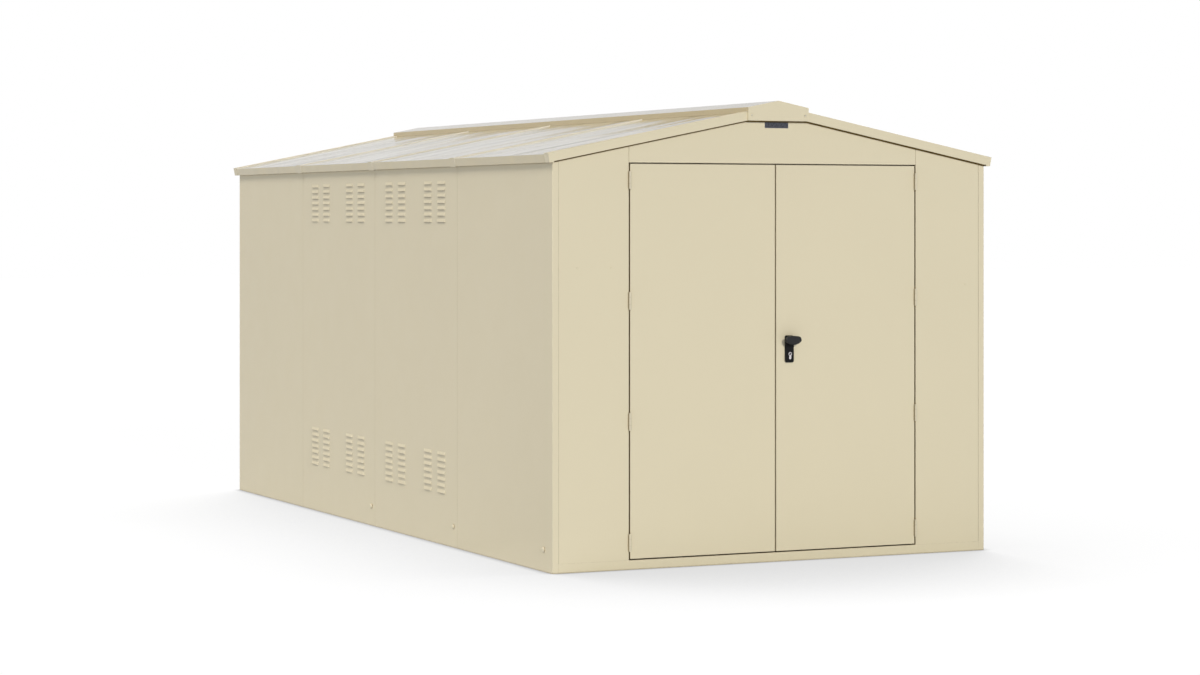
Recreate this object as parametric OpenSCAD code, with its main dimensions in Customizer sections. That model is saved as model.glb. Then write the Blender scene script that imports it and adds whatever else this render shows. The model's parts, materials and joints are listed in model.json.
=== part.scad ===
// Sheet metal garage for motorcycles or garden machines.
// Folded steel trays stand on base rails, under a low gable roof with a ridge cap.
// A pair of hinged doors fills the front. Dimensions are in millimetres.
// The origin is on the ground at the middle of the plan, and the doors face -Y.

/* [Overall size] */
// Width over the side walls
body_w = 2220; // [1900:10:2800]
// Length of one wall bay, four of which make the garage
bay_d = 1100; // [900:10:1400]
// Height of the side walls at their outer face
wall_h = 1843; // [1700:1:2400]
// Slope of the roof in degrees
roof_pitch = 11.3; // [6:0.1:20]

/* [Sheet metal] */
// Thickness of the folded sheets
sheet = 1.2; // [0.8:0.1:2]
// Depth of the wall trays and door leaves
tray_d = 30; // [24:1:45]
// Outside radius of the upright tray bends
bend_r = 2.5; // [2.2:0.1:4]

/* [Base and floor] */
// Height of the base rails and of the floor
rail_h = 41.5; // [35:0.5:60]
// Width of the base rails
rail_w = 40; // [36:1:60]

/* [Roof] */
// Overhang of the roof sheets beyond the side walls
eave_out = 27; // [20:1:60]
// Height of the folded eave lip
eave_lip = 37; // [30:1:60]
// Overhang of the roof beyond the front and rear walls
verge_out = 20; // [14:1:60]
// Height of the verge trim face
verge_h = 41.6; // [35:0.2:70]
// Height of the verge trim's flange above the roof sheets
verge_up = 4.2; // [0:0.2:10]
// Width of the verge trim flange on the roof sheets
verge_flange = 45; // [20:1:80]
// Depth of the folded hems
hem = 9; // [6:1:12]
// Width of the raised joint between roof sheets
rib_w = 60; // [40:1:90]
// Height of the raised joint above the roof sheets
rib_h = 4.5; // [4:0.5:12]
// Gap between the eave lip and the tabs of joints and verge trims that hang over it
tab_gap = 0.4; // [0.2:0.1:4]
// Length of a joint's tab below the foot of the eave lip
tab_drop = 3; // [0:0.5:8]

/* [Ridge] */
// Half width of the ridge cap
cap_half = 155; // [110:1:220]
// Height of the ridge cap over the roof sheets
cap_rise = 23; // [16:1:40]
// Overlap of the ridge end plates on the verge trims
end_lap = 20; // [10:1:40]
// Stand-out of the ridge end plates from the verge trims
ridge_out = 8; // [1:0.5:20]
// Width of the ridge beam
beam_w = 100; // [60:1:160]
// Depth of the ridge beam
beam_d = 60; // [40:1:100]

/* [Louvres] */
// Length of one louvre
louvre_l = 100; // [70:1:110]
// Height of one louvre
louvre_h = 16; // [12:1:22]
// Stand-out of a louvre from the wall
louvre_out = 5; // [3:0.5:8]
// Spacing of the louvres in a column
louvre_pitch = 30.3; // [26:0.1:40]
// Number of louvres in a column
louvre_n = 7; // [3:1:10]
// Offset of the inner columns from the middle of the bay
louvre_inner = 175; // [100:1:200]
// Offset of the outer columns from the middle of the bay
louvre_outer = 349; // [300:1:370]
// Height of the lowest louvre of the lower group
louvre_low = 245; // [100:1:500]
// Distance from the top of the wall down to the upper group
louvre_down = 106.2; // [60:0.2:400]
// Height of the upright front of a louvre's hood
louvre_lip = 3; // [2:0.5:6]
// Slope of the ends of a louvre, measured along the wall
louvre_taper = 6; // [3:0.5:12]

/* [Doors] */
// Width of the doorway
doorway_w = 1476; // [1200:2:1700]
// Height of the top of the doorway above the ground
doorway_h = 1806; // [1500:1:1840]
// Gap round the door leaves
door_gap = 6; // [5:0.5:10]
// Overlap of the door stops behind the leaves
stop_lap = 20; // [10:1:30]
// Depth of the joggle that keeps the stops behind the leaves
stop_step = 5; // [4:0.5:10]
// Width of the stops' flange on the wall trays
stop_fix = 25; // [15:1:40]
// Width of the stiffening channels
channel_w = 60; // [40:1:100]

/* [Hinges] */
// Height of a hinge
hinge_h = 79; // [60:1:110]
// Diameter of the hinge barrel
barrel_d = 12; // [10:0.5:16]
// Diameter of the hinge pin
pin_d = 6; // [4:0.5:8]
// Thickness of a hinge leaf
leaf_t = 2; // [1.5:0.1:2.4]
// Height of each outer knuckle
end_knuckle = 23.7; // [16:0.1:28]
// Distance from a leaf's top or bottom to the middle of the end hinges
hinge_inset = 72; // [50:1:150]
// Number of hinges on a leaf
hinge_n = 4; // [3:1:5]

/* [Lock and handle] */
// Distance of the lock from the free edge of the right leaf
backset = 65; // [45:0.5:90]
// Width of the handle backplate
plate_w = 44; // [38:1:60]
// Height of the handle backplate
plate_h = 123; // [115:1:160]
// Thickness of the handle backplate
plate_t = 10; // [5:0.5:14]
// Corner radius of the handle backplate
plate_r = 9; // [4:0.5:16]
// Depth of the chamfer round the face of the backplate
plate_edge = 2.5; // [0.5:0.5:3]
// Height of the bottom of the backplate above the ground
plate_z = 902.5; // [700:0.5:1200]
// Width of the half-moon grip
grip_w = 81; // [60:0.2:96]
// Height of the half-moon grip
grip_h = 40.6; // [36:0.2:50]
// Radius of the grip's rounded belly
grip_belly = 57; // [50:1:90]
// Thickness of the half-moon grip
handle_t = 12; // [8:1:20]
// Rounding of the grip's front and back edges
grip_round = 3; // [1:0.5:3.5]
// Rise of the grip's crowned top from its ends to its middle
grip_crown = 6.5; // [3:0.5:10]
// Height of the grip's top above the spindle
grip_up = 21.5; // [14:0.5:26]
// Stand-off of the grip's face from the door
handle_out = 50; // [45:1:80]
// Diameter of the neck between the grip and the backplate
neck_d = 20; // [16:1:30]
// Diameter of the handle spindle
spindle_d = 10; // [8:0.5:12]
// Height of the spindle above the bottom of the backplate
spindle_up = 100.5; // [90:0.5:110]
// Height of the cylinder profile's round end above the bottom of the backplate
cylinder_up = 39; // [30:1:50]
// Stand-out of the lock cylinder from the backplate
cylinder_out = 4; // [1:0.5:8]
// Width of the lock case
case_w = 70; // [60:1:90]
// Height of the lock case
case_h = 150; // [140:1:190]

/* [Hidden] */
$fn = 48;
BAYS = 4;
// Running clearance of a pin in its bore, on the radius
fit = 0.05;
// Running clearance at the end of a knuckle or a neck
end_gap = 0.5;
// Clearance between sheets that lie on each other at the roof, walls and ridge beam
seat = 0.05;
// Gap between neighbouring floor trays or stop strips
seam = 0.5;
// Clearance of a hidden part in its cut-out
loose = 0.3;
// Overshoot of a cutting shape past a face
eps = 1;
half_w = body_w / 2;
half_d = BAYS * bay_d / 2;
inner_w = half_w - tray_d;
inner_d = half_d - tray_d;
end_d = half_d + verge_out;
ridge_d = end_d + ridge_out;
door_half = doorway_w / 2;
ridge_z = roof_z(0, 0);
eave_u = (half_w + eave_out) / cos(roof_pitch);
eave_pt = slope_pt(eave_u, sheet - eave_lip);
tab_u = eave_u + sheet + tab_gap;
verge_top = 2 * sheet + seat + verge_up;
cap_top = roof_z(cap_half, sheet + cap_rise) + sheet;
cap_apex = roof_z(0, sheet + cap_rise) + sheet;
cap_seat = roof_z(cap_half - sheet, sheet + rib_h);
cap_foot = roof_z(cap_half - sheet, sheet + seat);
cap_base = verge_z(cap_half);
verge_in = cap_half - end_lap;
louvre_high = wall_h - louvre_down - louvre_h - (louvre_n - 1) * louvre_pitch;
// Depth behind the face of a leaf for what is fixed inside it
inside_d = tray_d - 3 * sheet;
leaf_w = door_half - 1.5 * door_gap;
leaf_z0 = rail_h + door_gap;
leaf_z1 = doorway_h - door_gap;
hinge_x = door_half - door_gap / 2;
hinge_y = -half_d - barrel_d / 2 - end_gap;
hinge_step = (leaf_z1 - leaf_z0 - 2 * hinge_inset) / (hinge_n - 1);
mid_knuckle = hinge_h - 2 * end_knuckle - 2 * end_gap;
lock_x = door_gap / 2 + backset;
spindle_z = plate_z + spindle_up;
cylinder_z = plate_z + cylinder_up;
// Standard profile of a lock cylinder: round end, stem width and drop of the stem's end
cylinder_r = 8.5;
stem_w = 10;
stem_drop = 19.5;
// Plug of the lock cylinder and its keyway
plug_r = 6.5;
plug_out = 0.5;
keyway_w = 3.4;
keyway_l = 10;
keyway_d = 20;
// Turn of the keyway from upright, in degrees
keyway_turn = 60;
grip_top = spindle_z + grip_up;
end_r = grip_h / 2;
crown_r = (grip_w * grip_w / 4 + grip_crown * grip_crown) / (2 * grip_crown);
cream = [0.84, 0.79, 0.67];
cream_dark = [0.80, 0.75, 0.63];
roof_cream = [0.86, 0.84, 0.78];
steel = [0.70, 0.70, 0.68];
black = [0.07, 0.07, 0.08];
chrome = [0.80, 0.80, 0.82];

// Height of a plane parallel to the roof, set up square to the wall tops by rise
function roof_z(x, rise) = wall_h + (half_w - x) * tan(roof_pitch) + rise / cos(roof_pitch);

// Point on the left slope, down from the ridge by u and up square to the slope by v
function slope_pt(u, v) = [
    -u * cos(roof_pitch) - v * sin(roof_pitch),
    ridge_z - u * sin(roof_pitch) + v * cos(roof_pitch)
];

// Lower edge of the verge trim at a distance x from the middle
function verge_z(x) = roof_z(x, verge_top) - verge_h;

// Front edge of bay number i
function bay_y(i) = -half_d + (i - 1) * bay_d;

// Extrudes an XZ outline from y0 to y1
module along_y(y0, y1) {
    translate([0, y1, 0]) rotate([90, 0, 0]) linear_extrude(y1 - y0) children();
}

// Everything below the roof sheets, lowered square to the roof by drop
module under_roof(drop) {
    along_y(-end_d, end_d)
        polygon([
            [-half_w - eps, -eps],
            [-half_w - eps, roof_z(half_w + eps, -drop)],
            [0, roof_z(0, -drop)],
            [half_w + eps, roof_z(half_w + eps, -drop)],
            [half_w + eps, -eps]
        ]);
}

// Plan of a tray w wide and d deep, with its two face bends rounded by r
module tray_plan(w, d, r) {
    translate([0, r]) square([w, d - r]);
    translate([r, 0]) square([w - 2 * r, d]);
    translate([r, r]) circle(r);
    translate([w - r, r]) circle(r);
}

// Upright tray with its face towards -Y, flanged all round and open behind
module tray(x0, x1, z0, z1) {
    difference() {
        translate([x0, 0, z0]) linear_extrude(z1 - z0) tray_plan(x1 - x0, tray_d, bend_r);
        translate([x0 + sheet, sheet, z0 + sheet])
            linear_extrude(z1 - z0 - 2 * sheet)
                tray_plan(x1 - x0 - 2 * sheet, tray_d, bend_r - sheet);
    }
}

// Tray in the plane of an end wall, cut to the roof with a sloping top flange
module gable_tray(x0, x1, z0) {
    translate([0, -half_d, 0])
        difference() {
            intersection() {
                translate([x0, 0, z0]) linear_extrude(ridge_z) tray_plan(x1 - x0, tray_d, bend_r);
                under_roof(seat);
            }
            intersection() {
                translate([x0 + sheet, sheet, z0 + sheet])
                    linear_extrude(ridge_z) tray_plan(x1 - x0 - 2 * sheet, tray_d, bend_r - sheet);
                under_roof(seat + sheet);
            }
        }
}

// Stands a plan drawn for a face towards -Y against the left side wall
module on_left_wall(i) {
    translate([-half_w, bay_y(i) + bay_d, 0]) rotate([0, 0, -90]) children();
}

// Tray of the left wall in bay number i
module side_tray(i) {
    difference() {
        intersection() {
            on_left_wall(i) linear_extrude(ridge_z) tray_plan(bay_d, tray_d, bend_r);
            under_roof(seat);
        }
        intersection() {
            on_left_wall(i)
                translate([sheet, sheet, sheet])
                    linear_extrude(ridge_z) tray_plan(bay_d - 2 * sheet, tray_d, bend_r - sheet);
            under_roof(seat + sheet);
        }
    }
}

// Return lip that closes the front corner post behind the face of the left wall
module corner_lip() {
    intersection() {
        translate([-inner_w - sheet, -half_d, 0]) cube([sheet, tray_d, ridge_z]);
        under_roof(seat);
    }
}

// Side profile of one pressed louvre hood, open below, moved in by inset
module louvre_side(inset) {
    polygon([
        [inset + eps, 0],
        [0, 0],
        [0, -inset],
        [inset - louvre_out, -inset],
        [inset - louvre_out, louvre_lip],
        [inset, louvre_h],
        [inset + eps, louvre_h]
    ]);
}

// Column of louvres in the left wall at bay offset dy, moved in by inset
module louvre_column(dy, inset) {
    long = louvre_l / 2 - inset;
    short = long - louvre_taper;
    top = louvre_high + louvre_n * louvre_pitch;
    translate([-half_w, dy, 0])
        intersection() {
            along_y(-long, long)
                for (base = [louvre_low, louvre_high], k = [0 : louvre_n - 1])
                    translate([0, base + k * louvre_pitch]) louvre_side(inset);
            linear_extrude(top)
                polygon([
                    [inset - louvre_out, -short],
                    [inset, -long],
                    [inset + eps, -long],
                    [inset + eps, long],
                    [inset, long],
                    [inset - louvre_out, short]
                ]);
        }
}

module louvre_bank(i, inset) {
    middle = bay_y(i) + bay_d / 2;
    for (offset = [-louvre_outer, -louvre_inner, louvre_inner, louvre_outer])
        louvre_column(middle + offset, inset);
}

// Left wall panel in bay number i: the end bays turn the corner, the others are louvred
module left_side_panel(i) {
    color(cream) {
        if (i == 1 || i == BAYS) {
            side_tray(i);
            if (i == 1) corner_lip();
            if (i == BAYS) mirror([0, 1, 0]) corner_lip();
        } else {
            difference() {
                union() {
                    side_tray(i);
                    louvre_bank(i, 0);
                }
                louvre_bank(i, sheet);
            }
        }
    }
}

module right_side_panel(i) {
    mirror([1, 0, 0]) left_side_panel(i);
}

module front_left_panel() {
    color(cream) gable_tray(-inner_w, -door_half, rail_h);
}

module front_right_panel() {
    mirror([1, 0, 0]) front_left_panel();
}

module front_header_panel() {
    color(cream) gable_tray(-door_half, door_half, doorway_h);
}

module rear_left_panel() {
    color(cream) mirror([0, 1, 0]) gable_tray(-inner_w, 0, rail_h);
}

module rear_right_panel() {
    mirror([1, 0, 0]) rear_left_panel();
}

// Channel rail along X with its web towards -Y
module front_base_rail() {
    color(cream)
        translate([-inner_w, -half_d, 0])
            difference() {
                cube([2 * inner_w, rail_w, rail_h]);
                translate([-eps, sheet, sheet])
                    cube([2 * inner_w + 2 * eps, rail_w, rail_h - 2 * sheet]);
            }
}

module rear_base_rail() {
    mirror([0, 1, 0]) front_base_rail();
}

// Channel rails between the end rails, with their webs against the side walls
module side_base_rails() {
    run = half_d - rail_w;
    color(cream)
        for (side = [0, 1])
            mirror([side, 0, 0])
                translate([-inner_w, -run, 0])
                    difference() {
                        cube([rail_w, 2 * run, rail_h]);
                        translate([sheet, -eps, sheet])
                            cube([rail_w, 2 * run + 2 * eps, rail_h - 2 * sheet]);
                    }
}

// Four floor trays, turned face up and set inside the base rails
module floor_panels() {
    span_x = 2 * (inner_w - rail_w);
    span_y = 2 * (half_d - rail_w) / BAYS;
    color(steel)
        for (i = [0 : BAYS - 1])
            translate([-span_x / 2, -half_d + rail_w + i * span_y, 0])
                difference() {
                    cube([span_x, span_y - (i < BAYS - 1 ? seam : 0), rail_h]);
                    translate([sheet, sheet, -eps])
                        cube([
                            span_x - 2 * sheet,
                            span_y - 2 * sheet - (i < BAYS - 1 ? seam : 0),
                            rail_h - sheet + eps
                        ]);
                }
}

// Outline of a layer of the left slope, from height lo to hi above the walls and from start
// down to an eave lip that lies from near to far along the slope and reaches to foot
module slope_layer(start, lo, hi, near, far, foot) {
    polygon([
        slope_pt(start, lo),
        slope_pt(start, hi),
        slope_pt(far, hi),
        slope_pt(far, foot),
        slope_pt(near, foot),
        slope_pt(near, lo)
    ]);
}

// Level fold that closes the eave from the foot of its lip to the side wall
module eave_return() {
    translate([eave_pt[0], eave_pt[1]]) square([-half_w - eave_pt[0], sheet]);
}

// Left roof sheet of bay number i, with the raised joint over its rear edge
module left_roof_panel(i) {
    lap = rib_w / 3;
    y0 = i == 1 ? -end_d + sheet : bay_y(i) - lap;
    joint = bay_y(i + 1);
    y1 = i == BAYS ? end_d - sheet : joint - rib_w / 2 + sheet;
    y2 = y1 - sheet + rib_w;
    lip_u = eave_u - sheet;
    foot = sheet - eave_lip;
    color(roof_cream) {
        along_y(y0, y1) {
            slope_layer(sheet, 0, sheet, lip_u, eave_u, foot);
            eave_return();
        }
        if (i > 1)
            along_y(y0, y0 + sheet) slope_layer(sheet, 0, rib_h - loose, lip_u, eave_u, foot);
        if (i < BAYS) {
            along_y(y1 - sheet, y1) slope_layer(sheet, 0, sheet + rib_h, lip_u, tab_u, foot);
            along_y(y1 - sheet, y2)
                slope_layer(sheet, rib_h, sheet + rib_h, tab_u - sheet, tab_u, foot - tab_drop);
            along_y(y2 - sheet, y2)
                slope_layer(sheet, sheet + seat, sheet + rib_h, eave_u + seat, tab_u, foot);
        }
    }
}

module right_roof_panel(i) {
    mirror([1, 0, 0]) left_roof_panel(i);
}

// Folded trim on the left slope's front edge: face, raised flange that turns down over the
// eave lip, lip that rests on the roof sheet, and hem
module front_left_verge() {
    inner_u = verge_in / cos(roof_pitch);
    foot = sheet - eave_lip;
    color(cream) {
        along_y(-end_d, -end_d + sheet)
            polygon([
                [-verge_in, roof_z(verge_in, verge_top)],
                slope_pt(tab_u, verge_top),
                slope_pt(tab_u, foot),
                [-half_w, eave_pt[1]],
                [-half_w, verge_z(half_w)],
                [-verge_in, verge_z(verge_in)]
            ]);
        along_y(-end_d, -end_d + verge_flange)
            slope_layer(inner_u, verge_top - sheet, verge_top, tab_u - sheet, tab_u, foot);
        along_y(-end_d + verge_flange - sheet, -end_d + verge_flange)
            polygon([
                slope_pt(inner_u, sheet + seat),
                slope_pt(inner_u, verge_top),
                slope_pt(eave_u, verge_top),
                slope_pt(eave_u, sheet + seat)
            ]);
        along_y(-end_d, -end_d + hem)
            polygon([
                [-verge_in, verge_z(verge_in)],
                [-half_w, verge_z(half_w)],
                [-half_w, verge_z(half_w) + sheet],
                [-verge_in, verge_z(verge_in) + sheet]
            ]);
    }
}

module front_right_verge() {
    mirror([1, 0, 0]) front_left_verge();
}

module rear_left_verge() {
    mirror([0, 1, 0]) front_left_verge();
}

module rear_right_verge() {
    mirror([0, 1, 0]) front_right_verge();
}

// Cuts the lips of the ridge cap over what crosses under it at y0, up to height top
module cap_notch(y0, length, top) {
    translate([-cap_half - eps, y0 - loose, cap_foot - eps])
        cube([2 * (cap_half + eps), length + 2 * loose, top - cap_foot + eps]);
}

// One of three lengths of the ridge cap, whose lips reach the roof sheets and clear the raised
// joints and the verge trims
module ridge_cap(i) {
    length = 2 * ridge_d / 3;
    y0 = -ridge_d + (i - 1) * length;
    over_verge = roof_z(cap_half - sheet, verge_top + seat);
    color(cream_dark)
        difference() {
            along_y(y0, y0 + length)
                polygon([
                    [-cap_half, cap_foot],
                    [-cap_half, cap_top],
                    [0, cap_apex],
                    [cap_half, cap_top],
                    [cap_half, cap_foot],
                    [cap_half - sheet, cap_foot],
                    [cap_half - sheet, cap_top - sheet],
                    [0, cap_apex - sheet],
                    [sheet - cap_half, cap_top - sheet],
                    [sheet - cap_half, cap_foot]
                ]);
            for (k = [2 : BAYS])
                cap_notch(bay_y(k) - rib_w / 2, rib_w, cap_seat);
            for (y = [-end_d, end_d - verge_flange])
                cap_notch(y, verge_flange, over_verge);
        }
}

// Plate that closes the end of the ridge cap and covers the ends of the verge trims, with its
// sides folded back to their faces and its foot folded in between them
module front_ridge_end() {
    color(cream) {
        along_y(-ridge_d - sheet, -ridge_d)
            polygon([
                [-cap_half, cap_base],
                [-cap_half, cap_top],
                [0, cap_apex],
                [cap_half, cap_top],
                [cap_half, cap_base]
            ]);
        translate([-verge_in, -ridge_d - sheet, cap_base])
            cube([2 * verge_in, ridge_out + hem, sheet]);
        for (x = [-cap_half, cap_half - sheet])
            translate([x, -ridge_d - sheet, cap_base])
                cube([sheet, sheet + ridge_out - seat, cap_foot - seat - cap_base]);
    }
}

module rear_ridge_end() {
    mirror([0, 1, 0]) front_ridge_end();
}

// Folded beam under the ridge, open below, between the end walls
module ridge_beam() {
    half = beam_w / 2;
    wall = 2 * sheet;
    top = roof_z(0, -seat);
    side = roof_z(half, -seat);
    foot = side - beam_d;
    color(steel)
        along_y(-inner_d, inner_d)
            polygon([
                [-half, foot],
                [-half, side],
                [0, top],
                [half, side],
                [half, foot],
                [half - wall, foot],
                [half - wall, side - wall],
                [0, top - wall],
                [wall - half, side - wall],
                [wall - half, foot]
            ]);
}

// Joggled strip that a leaf closes against, drawn for a jamb on the left
module stop_profile() {
    polygon([
        [-stop_fix, 0],
        [0, 0],
        [0, stop_step],
        [stop_lap, stop_step],
        [stop_lap, stop_step + sheet],
        [-sheet, stop_step + sheet],
        [-sheet, sheet],
        [-stop_fix, sheet]
    ]);
}

// Strips behind the leaves on both jambs and the head
module door_stops() {
    color(cream_dark) {
        for (side = [0, 1])
            mirror([side, 0, 0])
                translate([-door_half, -inner_d, rail_h])
                    linear_extrude(doorway_h - stop_lap - seam - rail_h) stop_profile();
        translate([-door_half, -inner_d, doorway_h])
            rotate([0, 90, 0]) linear_extrude(doorway_w) stop_profile();
    }
}

// Hinge leaf in the door gap, joined to its knuckles by straps given as [height, length]
module hinge_leaf(x0, straps) {
    translate([x0, -half_d, 0]) cube([leaf_t, tray_d - leaf_t, hinge_h]);
    for (strap = straps)
        translate([x0, hinge_y, strap[0]])
            cube([leaf_t, -half_d - hinge_y + eps, strap[1]]);
}

// Frame half of a left hinge: two knuckles, the pin and the leaf on the jamb
module frame_hinge() {
    straps = [[0, end_knuckle], [hinge_h - end_knuckle, end_knuckle]];
    for (strap = straps)
        translate([-hinge_x, hinge_y, strap[0]]) cylinder(d = barrel_d, h = strap[1]);
    translate([-hinge_x, hinge_y, 0]) cylinder(d = pin_d, h = hinge_h);
    hinge_leaf(-door_half, straps);
}

// Door half of a left hinge: the middle knuckle, bored for the pin, and its leaf
module leaf_hinge() {
    z = end_knuckle + end_gap;
    difference() {
        union() {
            translate([-hinge_x, hinge_y, z]) cylinder(d = barrel_d, h = mid_knuckle);
            hinge_leaf(door_gap - door_half - leaf_t, [[z, mid_knuckle]]);
        }
        translate([-hinge_x, hinge_y, z - eps])
            cylinder(r = pin_d / 2 + fit, h = mid_knuckle + 2 * eps);
    }
}

module at_hinges() {
    for (k = [0 : hinge_n - 1])
        translate([0, 0, leaf_z0 + hinge_inset + k * hinge_step - hinge_h / 2]) children();
}

module frame_hinges() {
    color(cream_dark)
        for (side = [0, 1])
            mirror([side, 0, 0]) at_hinges() frame_hinge();
}

module left_door_hinges() {
    color(cream_dark) at_hinges() leaf_hinge();
}

module right_door_hinges() {
    mirror([1, 0, 0]) left_door_hinges();
}

// Channel welded across the inside of a leaf at height z
module leaf_channel(x0, x1, z) {
    translate([x0, sheet, z - channel_w / 2])
        difference() {
            cube([x1 - x0, inside_d, channel_w]);
            translate([-eps, -eps, sheet])
                cube([x1 - x0 + 2 * eps, inside_d + eps - sheet, channel_w - 2 * sheet]);
        }
}

// Leaf on the left, a flanged tray with two channels across it
module door_leaf() {
    x0 = door_gap - door_half;
    x1 = x0 + leaf_w;
    rise = (leaf_z1 - leaf_z0) / 3;
    translate([0, -half_d, 0]) {
        tray(x0, x1, leaf_z0, leaf_z1);
        for (z = [leaf_z0 + rise, leaf_z1 - rise])
            leaf_channel(x0 + sheet, x1 - sheet, z);
    }
}

module left_door() {
    color(cream) door_leaf();
}

// Outline of a profile cylinder, round end up, grown by grow
module cylinder_profile(grow) {
    circle(r = cylinder_r + grow);
    translate([0, -stem_drop]) circle(r = stem_w / 2 + grow);
    translate([-stem_w / 2 - grow, -stem_drop]) square([stem_w + 2 * grow, stem_drop]);
}

// Lock case screwed to the inside of the right leaf
module lock_case() {
    color(steel)
        difference() {
            translate([lock_x - case_w / 2, -half_d + sheet, plate_z - (case_h - plate_h) / 2])
                cube([case_w, inside_d, case_h]);
            lock_cuts();
        }
}

// Spindle bore and cylinder cut-out through the plate, the leaf and the lock case
module lock_cuts() {
    y0 = -half_d - 2 * plate_t;
    y1 = -half_d + tray_d + eps;
    along_y(y0, y1) {
        translate([lock_x, spindle_z]) circle(r = spindle_d / 2 + fit);
        translate([lock_x, cylinder_z]) cylinder_profile(loose);
    }
}

module right_door() {
    color(cream)
        difference() {
            mirror([1, 0, 0]) door_leaf();
            lock_cuts();
        }
}

// Body of the backplate, with its front face at y = 0 and its lower left corner at the origin
module plate_body() {
    x_mid = plate_w - 2 * plate_r;
    z_mid = plate_h - 2 * plate_r;
    along_y(plate_edge, plate_t) {
        translate([plate_r, 0]) square([x_mid, plate_h]);
        translate([0, plate_r]) square([plate_w, z_mid]);
        for (x = [plate_r, plate_w - plate_r], z = [plate_r, plate_h - plate_r])
            translate([x, z]) circle(plate_r);
    }
    for (x = [plate_r, plate_w - plate_r], z = [plate_r, plate_h - plate_r])
        translate([x, plate_edge, z])
            rotate([90, 0, 0]) cylinder(r1 = plate_r, r2 = plate_r - plate_edge, h = plate_edge);
    translate([0, 0, plate_r]) linear_extrude(z_mid) chamfered(plate_w);
    translate([plate_r, 0, 0])
        rotate([90, 0, 90]) linear_extrude(x_mid) mirror([1, -1, 0]) chamfered(plate_h);
}

// Section through the chamfered layer of the backplate, size wide at its base
module chamfered(size) {
    polygon([[0, plate_edge], [plate_edge, 0], [size - plate_edge, 0], [size, plate_edge]]);
}

module handle_backplate() {
    color(black)
        difference() {
            translate([lock_x - plate_w / 2, -half_d - plate_t, plate_z]) plate_body();
            lock_cuts();
        }
}

// Profile cylinder through plate, leaf and case, with its plug and keyway in the round end
module lock_cylinder() {
    face_y = -half_d - plate_t - cylinder_out;
    color(chrome)
        difference() {
            union() {
                along_y(face_y, -half_d + inside_d)
                    translate([lock_x, cylinder_z]) cylinder_profile(0);
                along_y(face_y - plug_out, face_y + eps)
                    translate([lock_x, cylinder_z]) circle(r = plug_r);
            }
            translate([lock_x, face_y - plug_out - eps, cylinder_z])
                rotate([0, keyway_turn, 0])
                    translate([-keyway_w / 2, 0, -keyway_l / 2])
                        cube([keyway_w, keyway_d + eps, keyway_l]);
        }
}

// Section through half of the grip's thickness, r deep, with its front and back edges rounded
module grip_edge(r) {
    square([r - grip_round, handle_t]);
    translate([0, grip_round]) square([r, handle_t - 2 * grip_round]);
    for (y = [grip_round, handle_t - grip_round])
        translate([r - grip_round, y]) circle(grip_round);
}

// Disc of radius r with rounded rims, as thick as the grip and in its plane
module grip_disc(x, z, r) {
    translate([lock_x + x, handle_t - half_d - handle_out, z])
        rotate([90, 0, 0]) rotate_extrude() grip_edge(r);
}

// Long blank of the grip with two round ends, before its top and belly are trimmed
module grip_blank() {
    run = grip_w / 2 - end_r;
    for (x = [-run, run])
        grip_disc(x, grip_top - end_r, end_r);
    translate([lock_x - run, handle_t - half_d - handle_out, grip_top - end_r])
        for (side = [0, 1])
            mirror([0, 0, side])
                rotate([90, 0, 90])
                    linear_extrude(2 * run) rotate([0, 0, 90]) grip_edge(end_r);
}

// Half-moon grip with a crowned top, on a neck and a spindle that runs into the lock
module turn_handle() {
    back_y = handle_t - half_d - handle_out;
    color(black) {
        intersection() {
            grip_blank();
            grip_disc(0, grip_top - crown_r, crown_r);
            grip_disc(0, grip_top - grip_h + grip_belly, grip_belly);
        }
        along_y(back_y - eps, -half_d - plate_t - end_gap)
            translate([lock_x, spindle_z]) circle(d = neck_d);
        along_y(back_y, -half_d + inside_d)
            translate([lock_x, spindle_z]) circle(d = spindle_d);
    }
}

left_side_panel(1);  // left_side_panel_1
left_side_panel(2);  // left_side_panel_2
left_side_panel(3);  // left_side_panel_3
left_side_panel(4);  // left_side_panel_4
right_side_panel(1);  // right_side_panel_1
right_side_panel(2);  // right_side_panel_2
right_side_panel(3);  // right_side_panel_3
right_side_panel(4);  // right_side_panel_4
front_left_panel();
front_right_panel();
front_header_panel();
rear_left_panel();
rear_right_panel();
front_base_rail();
rear_base_rail();
side_base_rails();
floor_panels();
left_roof_panel(1);  // left_roof_panel_1
left_roof_panel(2);  // left_roof_panel_2
left_roof_panel(3);  // left_roof_panel_3
left_roof_panel(4);  // left_roof_panel_4
right_roof_panel(1);  // right_roof_panel_1
right_roof_panel(2);  // right_roof_panel_2
right_roof_panel(3);  // right_roof_panel_3
right_roof_panel(4);  // right_roof_panel_4
front_left_verge();
front_right_verge();
rear_left_verge();
rear_right_verge();
ridge_cap(1);  // ridge_cap_1
ridge_cap(2);  // ridge_cap_2
ridge_cap(3);  // ridge_cap_3
front_ridge_end();
rear_ridge_end();
ridge_beam();
door_stops();
frame_hinges();
left_door();
left_door_hinges();
right_door();
right_door_hinges();
lock_case();
lock_cylinder();
handle_backplate();
turn_handle();
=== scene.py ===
"""Looks of the sheet metal garage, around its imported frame.

Lengths are in metres, Z is up and the doors face -Y. The CAD nodes keep their shapes: this script
gives them their finish, softens their folded edges, and adds fasteners, small fittings, floor,
light and camera.
"""
import json
import math

import bmesh
import bpy
from mathutils import Matrix, Vector


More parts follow.
